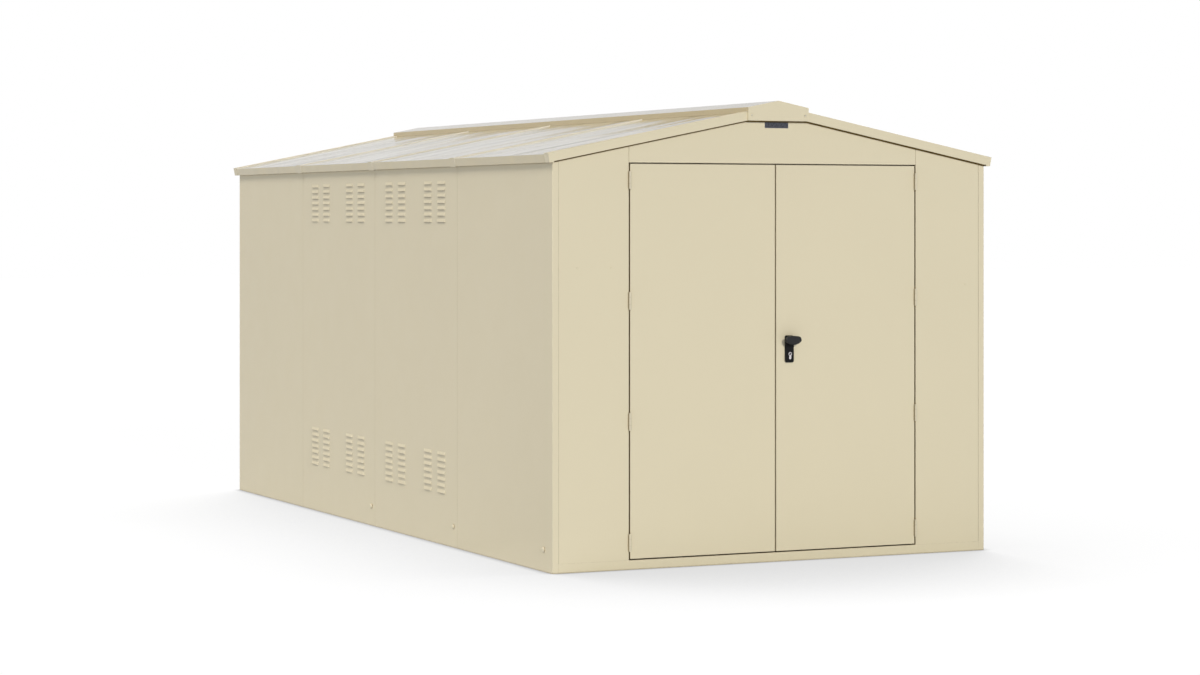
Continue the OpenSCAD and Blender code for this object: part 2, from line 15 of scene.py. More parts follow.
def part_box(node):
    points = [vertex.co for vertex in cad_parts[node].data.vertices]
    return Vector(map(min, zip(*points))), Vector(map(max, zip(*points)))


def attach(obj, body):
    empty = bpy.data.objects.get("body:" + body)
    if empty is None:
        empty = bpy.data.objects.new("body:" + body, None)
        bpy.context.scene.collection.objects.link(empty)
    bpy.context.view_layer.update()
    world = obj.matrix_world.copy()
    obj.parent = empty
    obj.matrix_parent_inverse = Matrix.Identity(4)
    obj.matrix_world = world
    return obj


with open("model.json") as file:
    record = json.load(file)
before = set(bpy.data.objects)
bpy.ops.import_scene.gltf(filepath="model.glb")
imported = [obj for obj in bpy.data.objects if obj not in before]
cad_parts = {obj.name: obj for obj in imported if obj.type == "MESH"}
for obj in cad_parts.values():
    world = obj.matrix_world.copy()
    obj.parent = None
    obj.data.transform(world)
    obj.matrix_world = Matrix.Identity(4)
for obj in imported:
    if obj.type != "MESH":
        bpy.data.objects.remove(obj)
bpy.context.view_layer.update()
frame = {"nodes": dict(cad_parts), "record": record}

MM = 0.001
NODES = frame["nodes"]
SLOT_OF = {part["node"]: part["material_slot"] for part in frame["record"]["subparts"]}


# ---------------------------------------------------------------- places read from the frame

SIDE_BAYS = 4
wall_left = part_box("left_side_panel_1")[0].x
wall_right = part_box("right_side_panel_1")[1].x
wall_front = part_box("left_side_panel_1")[0].y
wall_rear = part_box("left_side_panel_4")[1].y
bay = (wall_rear - wall_front) / SIDE_BAYS
ridge_end_low, ridge_end_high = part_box("front_ridge_end")


# ---------------------------------------------------------------- colour

def linear(red, green, blue):
    """Scene colour of an sRGB colour given from 0 to 255, by the sRGB transfer curve."""
    def channel(value):
        value = value / 255
        if value <= 0.04045:
            return value / 12.92
        return ((value + 0.055) / 1.055) ** 2.4
    return (channel(red), channel(green), channel(blue), 1.0)


def shade(colour, factor):
    """A colour made lighter or darker."""
    return tuple(min(1.0, c * factor) for c in colour[:3]) + (1.0,)


CREAM = linear(218, 206, 174)
ROOF_CREAM = linear(217, 208, 181)
# Painted shade: lips of the roof and the ridge cap, darker and yellower than their tops
SHADED_LIP_CREAM = linear(211, 196, 157)
SHADED_CAP_LIP_CREAM = linear(201, 184, 141)
CAP_TOP_CREAM = linear(206, 197, 172)
# Painted light: paler faces of the ribs and rear verges that turn to the front
FRONT_LIT_CREAM = linear(218, 212, 197)
# Painted shade: warm brown that darkens gaps and hollows
GAP_SHADE_BROWN = linear(130, 100, 38)
HINGE_CREAM = linear(212, 201, 172)
ZINC = linear(196, 198, 199)
ZINC_DARK = linear(168, 171, 174)
GRIP_BLACK = linear(24, 24, 25)
PLATE_BLACK = linear(15, 15, 16)
# Painted shade in and round the keyway of the lock cylinder
KEYWAY_SHADE_DARK = linear(28, 26, 26)
NICKEL = linear(240, 234, 234)
RIM_METAL = linear(168, 168, 172)
LACQUER_DARK = linear(52, 54, 62)
LACQUER_PALE = linear(66, 68, 76)
# Painted shade: dark brown of the strip that stands for the shade under the verge trims
VERGE_SHADE_BROWN = linear(98, 78, 36)
WHITE = (1.0, 1.0, 1.0, 1.0)


# ---------------------------------------------------------------- material building blocks

# Part of the normal at which a face starts to count as looking up or to the front, and fully
# does. These masks set where painted light and painted shade go on one sheet.
LOOKS_UP = (0.5, 0.8)
LOOKS_FRONT = (-0.4, -0.7)
# Edges of the masks: shares of an ellipse's radius between which it fades, and the width over
# which the mask of what lies far from the middle comes in
EYE_EDGE = (0.9, 1.1)
MIDDLE_EDGE = 50 * MM
# Depth of a mask that is to go through everything
THROUGH = 100.0


class Tree:
    """A node tree, with short calls for the nodes that finishes, floor and world share."""

    def __init__(self, owner):
        owner.use_nodes = True
        self.nodes = owner.node_tree.nodes
        self.links = owner.node_tree.links

    def feed(self, socket, value):
        """Links a changing value to a socket, or sets a uniform one on it."""
        if isinstance(value, bpy.types.NodeSocket):
            self.links.new(value, socket)
        else:
            socket.default_value = value

    def add(self, kind, inputs, **settings):
        """Adds a node with some settings and feeds its inputs, each given by its name or number."""
        node = self.nodes.new(kind)
        for setting, value in settings.items():
            setattr(node, setting, value)
        for socket, value in inputs.items():
            self.feed(node.inputs[socket], value)
        return node

    def axis(self, vector, letter):
        """Part of a vector along one axis."""
        return self.add("ShaderNodeSeparateXYZ", {"Vector": vector}).outputs[letter]

    def maths(self, operation, *numbers):
        """Result of a sum on one or two numbers."""
        inputs = dict(enumerate(numbers))
        return self.add("ShaderNodeMath", inputs, operation=operation).outputs[0]

    def spread(self, value, low, high, start=0.3, end=0.7, curve="LINEAR"):
        """Maps a value from start..end to low..high. Most of a noise lies from 0.3 to 0.7."""
        inputs = {"Value": value, "From Min": start, "From Max": end, "To Min": low, "To Max": high}
        node = self.add("ShaderNodeMapRange", inputs, interpolation_type=curve)
        return node.outputs["Result"]

    def mix(self, data_type, socket_type, share, first, second):
        """What lies between two things of one type, by a share from 0 to 1."""
        node = self.add("ShaderNodeMix", {"Factor": share}, data_type=data_type)
        ends = [s for s in node.inputs if s.name in ("A", "B") and s.type == socket_type]
        for socket, value in zip(ends, (first, second)):
            self.feed(socket, value)
        return [s for s in node.outputs if s.type == socket_type][0]

    def blend(self, share, first, second):
        """Colour between two others."""
        return self.mix("RGBA", "RGBA", share, first, second)

    def between(self, share, first, second):
        """Number between two others."""
        return self.mix("FLOAT", "VALUE", share, first, second)

    def open_share(self, reach, samples=8, **inputs):
        """Share of open space within reach metres of a face, from 0 in a tight gap to 1."""
        inputs["Distance"] = reach
        return self.add("ShaderNodeAmbientOcclusion", inputs, samples=samples).outputs["AO"]


class Finish(Tree):
    """A material's node tree, with the patterns and masks that the finishes share."""

    def __init__(self, name):
        self.material = bpy.data.materials.new(name)
        super().__init__(self.material)
        self.shader = self.nodes["Principled BSDF"]
        coordinates = self.nodes.new("ShaderNodeTexCoord")
        self.place = coordinates.outputs["Object"]
        self.normal = coordinates.outputs["Normal"]

    def set(self, socket, value):
        """Sets a uniform value on the shader, or links a changing one."""
        self.feed(self.shader.inputs[socket], value)

    def stretch(self, scale):
        """Object coordinates scaled along each axis."""
        inputs = {"Scale": scale, "Vector": self.place}
        return self.add("ShaderNodeMapping", inputs).outputs["Vector"]

    def noise(self, scale, detail=2.0, distortion=0.0, vector=None):
        """Noise value from 0 to 1, with scale features a metre."""
        inputs = {"Scale": scale, "Detail": detail, "Distortion": distortion,
                  "Vector": vector or self.place}
        return self.add("ShaderNodeTexNoise", inputs).outputs["Fac"]

    def cells(self, scale):
        """Two values that change from cell to cell, such as in the spangle of zinc."""
        inputs = {"Scale": scale, "Vector": self.place}
        crystal = self.add("ShaderNodeTexVoronoi", inputs).outputs["Color"]
        split = self.add("ShaderNodeSeparateColor", {"Color": crystal})
        return split.outputs["Red"], split.outputs["Green"]

    def upward(self):
        """1 on faces that look up, 0 on upright faces and those that look down."""
        return self.spread(self.axis(self.normal, "Z"), 0.0, 1.0, *LOOKS_UP)

    def frontward(self):
        """1 on upright faces that look to the front, 0 on the others."""
        return self.spread(self.axis(self.normal, "Y"), 0.0, 1.0, *LOOKS_FRONT)

    def within(self, middle, turn, half_width, half_length):
        """1 inside an upright ellipse round a point, turned about Y, 0 outside it."""
        inputs = {"Location": middle, "Rotation": (0.0, turn, 0.0),
                  "Scale": (half_width, THROUGH, half_length), "Vector": self.place}
        placed = self.add("ShaderNodeMapping", inputs, vector_type="TEXTURE").outputs["Vector"]
        length = self.add("ShaderNodeVectorMath", {0: placed}, operation="LENGTH")
        return self.spread(length.outputs["Value"], 1.0, 0.0, *EYE_EDGE)

    def from_middle(self, start):
        """1 beyond a distance from the plane x = 0, 0 nearer to it."""
        distance = self.maths("ABSOLUTE", self.axis(self.place, "X"))
        return self.spread(distance, 0.0, 1.0, start, start + MIDDLE_EDGE)

    def bump(self, height, distance, strength=1.0, under=None):
        """Relief of a height from 0 to 1, distance metres deep, over an earlier relief."""
        inputs = {"Strength": strength, "Distance": distance, "Height": height}
        if under:
            inputs["Normal"] = under
        return self.add("ShaderNodeBump", inputs).outputs["Normal"]


# ---------------------------------------------------------------- finishes

# Shades of the powder coat in its broad patches and in its fine specks
TONE_SHADES = (0.985, 1.012)
SPECK_SHADES = (0.975, 1.015)
COAT_IOR = 1.43
# Painted shade in gaps: open share at which a gap is fully darkened, and at which it is left as is
FULL_SHADE_OPEN, NO_SHADE_OPEN = 0.3, 0.8


def powder_coat(name, colour, wave=1.2 * MM, along=(1.0, 1.0, 0.35), rough=(0.42, 0.50), top=None,
                front=None, painted_shade=None, coat=1.0):
    """Satin powder coat on thin sheet: fine orange peel over a slow waviness of the sheet itself.
    Faces that look up may have a colour and a range of roughness of their own, as top, under a
    clear coat; the colour given for the other faces is then painted shade on the faces that turn
    away from the light. Faces that look to the front may have a colour of their own, as front: a
    painted light on the faces that turn to the front. A painted shade in brown darkens gaps within
    a reach, given in the argument after front. If that argument has a second number, the painted
    shade lies only beyond that distance from the middle of the front."""
    tree = Finish(name)
    tone = tree.spread(tree.noise(scale=1.1, detail=3.0), 0.0, 1.0)
    speck = tree.spread(tree.noise(scale=260.0), 0.0, 1.0, start=0.35, end=0.65)
    share_of_specks = tree.spread(tree.noise(scale=3.0, detail=1.0), low=0.35, high=0.65)
    uneven = tree.noise(scale=7.0, detail=3.0)

    def mottled(paint):
        broad = tree.blend(tone, *(shade(paint, share) for share in TONE_SHADES))
        fine = tree.blend(speck, *(shade(paint, share) for share in SPECK_SHADES))
        return tree.blend(share_of_specks, broad, fine)

    paint, gloss = mottled(colour), tree.spread(uneven, *rough)
    # Painted light on the faces that turn to the front
    if front:
        paint = tree.blend(tree.frontward(), paint, mottled(front))
    # Own colour on faces that look up; the colour on the other faces is painted shade
    if top:
        top_colour, top_rough = top
        up = tree.upward()
        paint = tree.blend(up, paint, mottled(top_colour))
        gloss = tree.between(up, gloss, tree.spread(uneven, *top_rough))
    # Painted shade: warm brown blended into gaps and hollows by how closed in they are
    if painted_shade:
        reach, *start = painted_shade
        unshaded = tree.spread(tree.open_share(reach), 0.0, 1.0, FULL_SHADE_OPEN, NO_SHADE_OPEN)
        if start:
            unshaded = tree.between(tree.from_middle(*start), 1.0, unshaded)
        paint = tree.blend(unshaded, GAP_SHADE_BROWN, paint)
    tree.set("Base Color", paint)
    tree.set("Roughness", gloss)
    waves = tree.noise(scale=1.6, detail=1.0, distortion=0.4, vector=tree.stretch(along))
    sheet = tree.bump(waves, wave)
    peel = tree.bump(tree.noise(scale=420.0), 0.04 * MM, strength=0.6, under=sheet)
    tree.set("Normal", peel)
    tree.set("IOR", COAT_IOR)
    if top:
        tree.set("Coat Weight", coat)
        tree.set("Coat Roughness", top_rough[0])
        tree.set("Coat Normal", peel)
    return tree.material


ZINC_METALLIC = 0.5
ZINC_ROUGH = (0.34, 0.52)
ZINC_CLOUD_SHADE = 0.92


def galvanised(name, colour, dark):
    """Zinc with its spangle of crystals, a little brighter and rougher from one to the next."""
    tree = Finish(name)
    bright, rough = tree.cells(scale=42.0)
    grain = tree.spread(bright, 0.0, 1.0, start=0.0, end=1.0)
    cloud = tree.spread(tree.noise(scale=2.5, detail=4.0), 0.0, 1.0)
    base = tree.blend(grain, dark, colour)
    tree.set("Base Color", tree.blend(cloud, base, shade(colour, ZINC_CLOUD_SHADE)))
    tree.set("Roughness", tree.spread(rough, *ZINC_ROUGH, start=0.0, end=1.0))
    tree.set("Metallic", ZINC_METALLIC)
    sheet = tree.bump(tree.noise(scale=1.8, detail=1.0), 1 * MM)
    fine = tree.noise(scale=150.0, detail=3.0)
    tree.set("Normal", tree.bump(fine, 0.05 * MM, strength=0.5, under=sheet))
    return tree.material


BLACK_SHADES = (0.8, 1.3)
BLACK_ROUGH = (0.36, 0.48)


def black_finish(name, colour, shine):
    """Black textured coating of the handle and its plate."""
    tree = Finish(name)
    grain = tree.noise(scale=1400.0)
    tree.set("Base Color", tree.blend(grain, *(shade(colour, share) for share in BLACK_SHADES)))
    tree.set("Roughness", tree.spread(tree.noise(scale=90.0, detail=3.0), *BLACK_ROUGH))
    tree.set("Specular IOR Level", shine)
    tree.set("Normal", tree.bump(grain, 0.06 * MM, strength=0.7))
    return tree.material


BRUSH_SHADE = 0.9
BRUSH_STRETCH = (1.0, 1.0, 0.06)
# Painted shade in the gaps round a nickel piece, as a share of its colour, and its reach
GAP_SHADE = 0.03
GAP_REACH = 4 * MM


def satin_nickel(name, colour, rough=(0.2, 0.32), metallic=1.0, keyway_shade=None):
    """Nickel plate with fine brushing along the height and painted shade in the gaps round it. A
    keyway, if it has one, gets a painted shade round it, given as the numbers of its ellipse."""
    tree = Finish(name)
    brushed = tree.noise(scale=900.0, vector=tree.stretch(BRUSH_STRETCH))
    # Painted shade: darker in the gaps round the piece
    unshaded = tree.spread(tree.open_share(GAP_REACH), 0.0, 1.0, start=0.4, end=0.9)
    base = tree.blend(brushed, shade(colour, BRUSH_SHADE), colour)
    if keyway_shade:
        # Painted shade round the keyway
        base = tree.blend(tree.within(*keyway_shade), base, KEYWAY_SHADE_DARK)
    tree.set("Base Color", tree.blend(unshaded, shade(colour, GAP_SHADE), base))
    tree.set("Metallic", metallic)
    tree.set("Roughness", tree.spread(brushed, *rough))
    tree.set("Normal", tree.bump(brushed, 0.02 * MM, strength=0.5))
    return tree.material


LACQUER_ROUGH = (0.24, 0.34)


def dark_lacquer(name):
    """Dark lacquer of the blank plate, with faint clouding."""
    tree = Finish(name)
    cloud = tree.noise(scale=60.0, detail=3.0)
    tree.set("Base Color", tree.blend(cloud, LACQUER_DARK, LACQUER_PALE))
    tree.set("Roughness", tree.spread(tree.noise(scale=120.0), *LACQUER_ROUGH))
    tree.set("Normal", tree.bump(tree.noise(scale=700.0), 0.02 * MM, strength=0.4))
    return tree.material


RUBBER_SHADES = (0.9, 1.15)
RUBBER_ROUGH = (0.7, 0.85)
RUBBER_SHINE = 0.15


def old_rubber(name, colour):
    """Matt rubber, dusty in places."""
    tree = Finish(name)
    dust = tree.spread(tree.noise(scale=9.0, detail=4.0), 0.0, 1.0)
    tree.set("Base Color", tree.blend(dust, *(shade(colour, share) for share in RUBBER_SHADES)))
    tree.set("Roughness", tree.spread(tree.noise(scale=60.0), *RUBBER_ROUGH))
    tree.set("Specular IOR Level", RUBBER_SHINE)
    tree.set("Normal", tree.bump(tree.noise(scale=300.0), 0.1 * MM, strength=0.5))
    return tree.material


# Reach of the painted shade in the gaps round panels and hinges, and where it starts beside
# the doors
PANEL_SHADE_REACH = 10 * MM
HINGE_SHADE_REACH = 6 * MM
DOOR_SHADE_START = 0.4
# Roof: how close its waves lie along each axis, the roughness of what looks up, and the weight of
# the clear coat on the ridge cap
ROOF_WAVE = (0.5, 2.5, 1.0)
ROOF_GLOSS = (0.12, 0.17)
CAP_COAT = 0.75
FRAME_ZINC_SHADE = 0.95
# Round end of the lock cylinder, and the ellipse of the painted shade round its keyway
CYLINDER_R = 8.5 * MM
cylinder_low, cylinder_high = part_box("lock_cylinder")
plug_middle = Vector(((cylinder_low.x + cylinder_high.x) / 2, 0.0, cylinder_high.z - CYLINDER_R))
KEYWAY_TURN = math.radians(60)
KEYWAY_HALF_W = 3.8 * MM
KEYWAY_HALF_L = 6.0 * MM
KEYWAY_SHADE_EYE = (plug_middle, KEYWAY_TURN, KEYWAY_HALF_W, KEYWAY_HALF_L)
FINISHES = {
    # Walls, doors and hinges darken their gaps with painted shade
    "wall_panel": powder_coat("wall_coat", CREAM, painted_shade=(PANEL_SHADE_REACH,)),
    "door_panel": powder_coat("door_coat", CREAM, wave=1 * MM,
                              painted_shade=(PANEL_SHADE_REACH, DOOR_SHADE_START)),
    # Roof, cap, rear verges: painted shade on lips, painted light on faces to the front
    "roof_panel": powder_coat("roof_coat", SHADED_LIP_CREAM, wave=14 * MM, along=ROOF_WAVE,
                              top=(ROOF_CREAM, ROOF_GLOSS), front=FRONT_LIT_CREAM),
    "ridge_cap": powder_coat("cap_coat", SHADED_CAP_LIP_CREAM, wave=3 * MM, along=ROOF_WAVE,
                             top=(CAP_TOP_CREAM, ROOF_GLOSS), coat=CAP_COAT),
    "rear_verge": powder_coat("rear_verge_coat", CREAM, wave=0.6 * MM, front=FRONT_LIT_CREAM),
    "trim": powder_coat("trim_coat", CREAM, wave=0.6 * MM),
    "hinge": powder_coat("hinge_coat", HINGE_CREAM, wave=0.0, painted_shade=(HINGE_SHADE_REACH,)),
    "floor": galvanised("floor_zinc", ZINC, ZINC_DARK),
    "inner_frame": galvanised("frame_zinc", shade(ZINC, FRAME_ZINC_SHADE), ZINC_DARK),
    "lock_cylinder": satin_nickel("cylinder_nickel", NICKEL, metallic=0.6, keyway_shade=KEYWAY_SHADE_EYE),
    "handle": black_finish("handle_black", GRIP_BLACK, shine=0.4),
    "backplate": black_finish("plate_black", PLATE_BLACK, shine=0.2),
}
VERGE_SHADE_RUBBER = old_rubber("verge_shade_rubber", VERGE_SHADE_BROWN)
PLATE_DARK = dark_lacquer("plate_lacquer")
PLATE_RIM = satin_nickel("plate_rim", RIM_METAL, rough=(0.3, 0.42))


# ---------------------------------------------------------------- CAD nodes

OWN_FINISH = {
    "ridge_cap_1": "ridge_cap", "ridge_cap_2": "ridge_cap", "ridge_cap_3": "ridge_cap",
    "rear_left_verge": "rear_verge", "rear_right_verge": "rear_verge",
    "handle_backplate": "backplate",
}


def finish_node(name):
    """Puts the slot's finish on a CAD node, or the node's own."""
    mesh = NODES[name].data
    mesh.materials.clear()
    mesh.materials.append(FINISHES[OWN_FINISH.get(name, SLOT_OF[name])])


# Folded edges: their radius and steps, the points that weld, and the angles that count as flat
# and as a fold
FOLD_R = 0.5 * MM
FOLD_STEPS = 2
WELD_WITHIN = 0.01 * MM
FLAT_BELOW = math.radians(0.5)
FOLD_ABOVE = math.radians(40)
# Louvred panels have more vertices than this; they keep their edges as they are
LOUVRED_ABOVE = 3000
SHEET_SLOTS = ("wall_panel", "door_panel", "roof_panel", "trim")


def soften(name):
    """Rounds the folded edges of a flat sheet piece with modifiers."""
    piece = NODES[name]
    weld = piece.modifiers.new("weld", "WELD")
    weld.merge_threshold = WELD_WITHIN
    flat = piece.modifiers.new("flat", "DECIMATE")
    flat.decimate_type = "DISSOLVE"
    flat.angle_limit = FLAT_BELOW
    bevel = piece.modifiers.new("bevel", "BEVEL")
    bevel.width = FOLD_R
    bevel.segments = FOLD_STEPS
    bevel.limit_method = "ANGLE"
    bevel.angle_limit = FOLD_ABOVE
    bevel.use_clamp_overlap = True


for node_name in sorted(NODES):
    finish_node(node_name)
    louvred = len(NODES[node_name].data.vertices) > LOUVRED_ABOVE
    if SLOT_OF[node_name] in SHEET_SLOTS and not louvred:
        soften(node_name)


# ---------------------------------------------------------------- mesh helpers

def add_piece(name, mesh_data, material, body):
    """Makes an object of a finished bmesh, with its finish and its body."""
    mesh = bpy.data.meshes.new(name)
    bmesh.ops.recalc_face_normals(mesh_data, faces=mesh_data.faces)
    mesh_data.to_mesh(mesh)
    mesh_data.free()
    mesh.materials.append(material)
    piece = bpy.data.objects.new(name, mesh)
    bpy.context.scene.collection.objects.link(piece)
    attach(piece, body)


def facing(point, outward):
    """Frame at a point whose Z axis is the outward direction and whose Y axis is up."""
    z = Vector(outward).normalized()
    x = Vector((0, 0, 1)).cross(z).normalized()
    y = z.cross(x)
    return Matrix.Translation(point) @ Matrix((x, y, z)).transposed().to_4x4()


def bridge(mesh_data, lower, upper, smooth=False):
    """Joins two rings of points with faces. The upper one may be a single point."""
    for k in range(len(lower)):
        after = (k + 1) % len(lower)
        top = (upper[0],) if len(upper) == 1 else (upper[after], upper[k])
        mesh_data.faces.new((lower[k], lower[after], *top)).smooth = smooth


def turned(mesh_data, place, profile, sides):
    """Adds a turned shape, with its flat back closed: profile is a list of (radius, height) from
    the rim to the middle."""
    rings = []
    for radius, height in profile:
        if radius == 0:
            rings.append([mesh_data.verts.new(place @ Vector((0, 0, height)))])
            continue
        ring = []
        for k in range(sides):
            angle = 2 * math.pi * k / sides
            spot = Vector((radius * math.cos(angle), radius * math.sin(angle), height))
            ring.append(mesh_data.verts.new(place @ spot))
        rings.append(ring)
    for lower, upper in zip(rings, rings[1:]):
        bridge(mesh_data, lower, upper, smooth=True)
    mesh_data.faces.new(list(reversed(rings[0])))


def dome_profile(radius, height, edge, steps=7):
    """Rim and dome of a mushroom head."""
    points = [(radius, 0.0), (radius, edge)]
    for k in range(1, steps):
        angle = math.pi / 2 * k / steps
        points.append((radius * math.cos(angle), edge + (height - edge) * math.sin(angle)))
    points.append((0, height))
    return points


def rounded_outline(width, height, radius, steps=6):
    """Outline of a rounded rectangle round the origin."""
    points = []
    for corner in range(4):
        sign_x = 1 if corner in (0, 3) else -1
        sign_y = 1 if corner in (0, 1) else -1
        centre = Vector((sign_x * (width / 2 - radius), sign_y * (height / 2 - radius)))
        for k in range(steps + 1):
            angle = math.pi / 2 * (corner + k / steps)
            points.append(centre + radius * Vector((math.cos(angle), math.sin(angle))))
    return points


def slab(mesh_data, place, outline, low, high, chamfer):
    """Adds a plate of an outline from height low to high, with a chamfer round its top."""
    levels = [(low, 0.0), (high - chamfer, 0.0), (high, chamfer)]
    centre = sum(outline, Vector((0, 0))) / len(outline)
    rings = []
    for height, inset in levels:
        ring = []
        for point in outline:
            away = point - centre
            spot = centre + away * (1 - inset / away.length)
            ring.append(mesh_data.verts.new(place @ Vector((spot.x, spot.y, height))))
        rings.append(ring)
    for lower, upper in zip(rings, rings[1:]):
        bridge(mesh_data, lower, upper)
    mesh_data.faces.new(rings[-1])
    mesh_data.faces.new(list(reversed(rings[0])))


# ---------------------------------------------------------------- fasteners on the walls

# Height of the bolts above the ground, and their distance behind the front corner and behind the
# seams that have one
BOLT_UP = 98 * MM
BOLT_EDGE = 92 * MM
BOLT_SEAM = 47 * MM
BOLT_SEAMS = (1, 2)
BOLT_HEAD = dome_profile(11.5 * MM, 9.5 * MM, 2 * MM)
BOLT_SIDES = 28


def side_bolts(name, wall_x, outward):
    """Domed heads that fix the side wall to its base rail: one near the front corner, and one
    behind each of the first two seams."""
    mesh_data = bmesh.new()
    along = [wall_front + BOLT_EDGE] + [wall_front + k * bay + BOLT_SEAM for k in BOLT_SEAMS]
    for y in along:
        turned(mesh_data, facing(Vector((wall_x, y, BOLT_UP)), outward), BOLT_HEAD, BOLT_SIDES)
    add_piece(name, mesh_data, FINISHES["hinge"], "shell")


side_bolts("left_side_bolts", wall_left, (-1, 0, 0))
side_bolts("right_side_bolts", wall_right, (1, 0, 0))

# Places in from the left corner and up from the ground
RIVETS = ((120 * MM, 1340 * MM), (285 * MM, 1340 * MM), (2115 * MM, 1249 * MM))
RIVET_HEAD = dome_profile(4.2 * MM, 1.6 * MM, 0.3 * MM, steps=5)
RIVET_SIDES = 20


def front_rivets():
    """Small painted rivet heads on the narrow wall panels beside the doorway."""
    mesh_data = bmesh.new()
    face_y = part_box("front_left_panel")[0].y
    for across, up in RIVETS:
        place = facing(Vector((wall_left + across, face_y, up)), (0, -1, 0))
        turned(mesh_data, place, RIVET_HEAD, RIVET_SIDES)
    add_piece("front_rivets", mesh_data, FINISHES["trim"], "shell")


front_rivets()


# ---------------------------------------------------------------- ridge end, seals and plate

# Screws, in from the sides of the ridge end plate and up from its foot
SCREW_IN = 17 * MM
SCREW_UP = 25 * MM
SCREW_SIDES = 24
# Head with a sunk drive in its middle, and the drive's dark cup that closes it
PAN_HEAD = [(6.2 * MM, 0.0), (6.2 * MM, 1.2 * MM), (5.6 * MM, 2.6 * MM), (4.4 * MM, 3.3 * MM),
            (3.2 * MM, 3.5 * MM), (2.9 * MM, 1.2 * MM), (0, 1.2 * MM)]
PAN_DRIVE = [(2.85 * MM, 1.25 * MM), (2.6 * MM, 1.5 * MM), (0, 1.3 * MM)]


def ridge_screws():
    """Pan-head screws, one near each lower corner of the front ridge end plate."""
    low, high = ridge_end_low, ridge_end_high
    heads = bmesh.new()
    drives = bmesh.new()
    for x in (low.x + SCREW_IN, high.x - SCREW_IN):
        place = facing(Vector((x, low.y, low.z + SCREW_UP)), (0, -1, 0))
        turned(heads, place, PAN_HEAD, SCREW_SIDES)
        turned(drives, place, PAN_DRIVE, SCREW_SIDES)
    add_piece("front_ridge_screws", heads, FINISHES["trim"], "shell")
    add_piece("front_ridge_screws_drives", drives, FINISHES["inner_frame"], "shell")


ridge_screws()

# The seal's ends, in from the corners, and its section: out from the wall and up from the foot
# of the verge trims
SEAL_IN = 1.5 * MM
SEAL_SECTION = [(0.0, -5.5 * MM), (4.8 * MM, -5.5 * MM), (7.2 * MM, -4.125 * MM),
                (8 * MM, -2.2 * MM), (8 * MM, 9 * MM), (0.0, 9 * MM)]
# How near the verge's inner end a vertex lies to count as part of it
AT_THE_END = 0.1 * MM


def verge_shade_seal(name, verge, ridge_end, wall_y, outward):
    """Strip that seals the gap between the verge trims and the wall, from corner to corner. Its
    dark brown is painted shade, for the shade in the gap under the trims.
    """
    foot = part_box(ridge_end)[0].z
    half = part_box(ridge_end)[1].x
    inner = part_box(verge)[1].x
    inner_foot = min(v.co.z for v in NODES[verge].data.vertices if inner - v.co.x < AT_THE_END)
    slope = (inner_foot - foot) / (inner + half)
    run = wall_right - SEAL_IN - half
    corner_foot = foot - slope * run
    path = [(-half - run, corner_foot), (-half, foot), (half, foot), (half + run, corner_foot)]
    mesh_data = bmesh.new()
    rings = [[mesh_data.verts.new((x, wall_y + outward * out, z + up)) for out, up in SEAL_SECTION]
             for x, z in path]
    for near, far in zip(rings, rings[1:]):
        bridge(mesh_data, near, far)
    mesh_data.faces.new(rings[0])
    mesh_data.faces.new(list(reversed(rings[-1])))
    add_piece(name, mesh_data, VERGE_SHADE_RUBBER, "shell")


# Dark strips whose colour paints the shade under the verge trims, at the front and the back
verge_shade_seal("front_verge_shade_seal", "front_left_verge", "front_ridge_end", wall_front, -1)
verge_shade_seal("rear_verge_shade_seal", "rear_left_verge", "rear_ridge_end", wall_rear, 1)

PLATE_W = 121 * MM
PLATE_H = 28 * MM
PLATE_MID_X = 4 * MM
PLATE_BELOW = 4.2 * MM
RIM_W = 1.5 * MM
# Corner radius, foot, top and chamfer of each layer
RIM_FORM = (2.5 * MM, 0, 1.2 * MM, 0.4 * MM)
FIELD_FORM = (1.6 * MM, 1.1 * MM, 1.5 * MM, 0.2 * MM)


def plate_layer(name, place, inset, form, material):
    """One layer of the plate, inset from its edge on every side."""
    radius, low, high, chamfer = form
    outline = rounded_outline(PLATE_W - 2 * inset, PLATE_H - 2 * inset, radius)
    mesh_data = bmesh.new()
    slab(mesh_data, place, outline, low, high, chamfer)
    add_piece(name, mesh_data, material, "shell")


def blank_plate():
    """Small bare plate with a dark field in a metal rim, on the header under the ridge end."""
    z = ridge_end_low.z - PLATE_BELOW - PLATE_H / 2
    point = Vector((PLATE_MID_X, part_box("front_header_panel")[0].y, z))
    place = facing(point, (0, -1, 0))
    plate_layer("blank_plate_rim", place, 0.0, RIM_FORM, PLATE_RIM)
    plate_layer("blank_plate_field", place, RIM_W, FIELD_FORM, PLATE_DARK)


blank_plate()


# ---------------------------------------------------------------- floor, light and camera

# Levels relative to an even sky that shows each colour as it is
FILL = 0.29
# In reflections: level near the horizon and higher up, and the heights between which it changes
MIRRORED = (0.74, 0.52)
MIRRORED_BAND = (0.10, 0.24)
# Floor: its size, the share of light it throws back, its own glow, how bright that is in
# reflections, and how much it shows of the lamps' shadows
FLOOR_SIZE = 120
FLOOR_BOUNCE = (0.79, 0.86, 1.0, 1.0)
FLOOR_ROUGH = 0.9
FLOOR_GLOW = 0.97
FLOOR_MIRRORED = 0.60
FLOOR_SHADE = (0.04, 0.04, 0.04, 1.0)
# Painted contact shadow, a dark line where the walls stand on the floor: its reach in metres and
# its depth
CONTACT_REACH = 50 * MM
CONTACT_DEPTH = 0.42
# Painted soft shadow, laid as though cast by a broad light from behind: its direction, its reach,
# its depth and where it fades
PAINTED_SHADOW_FROM = (0.28, 1.0, 0.57)
SHADOW_REACH = 1.75
SHADOW_DEPTH = 0.27
SHADOW_OPEN = (0.34, 0.91)
SHADOW_SAMPLES = 16


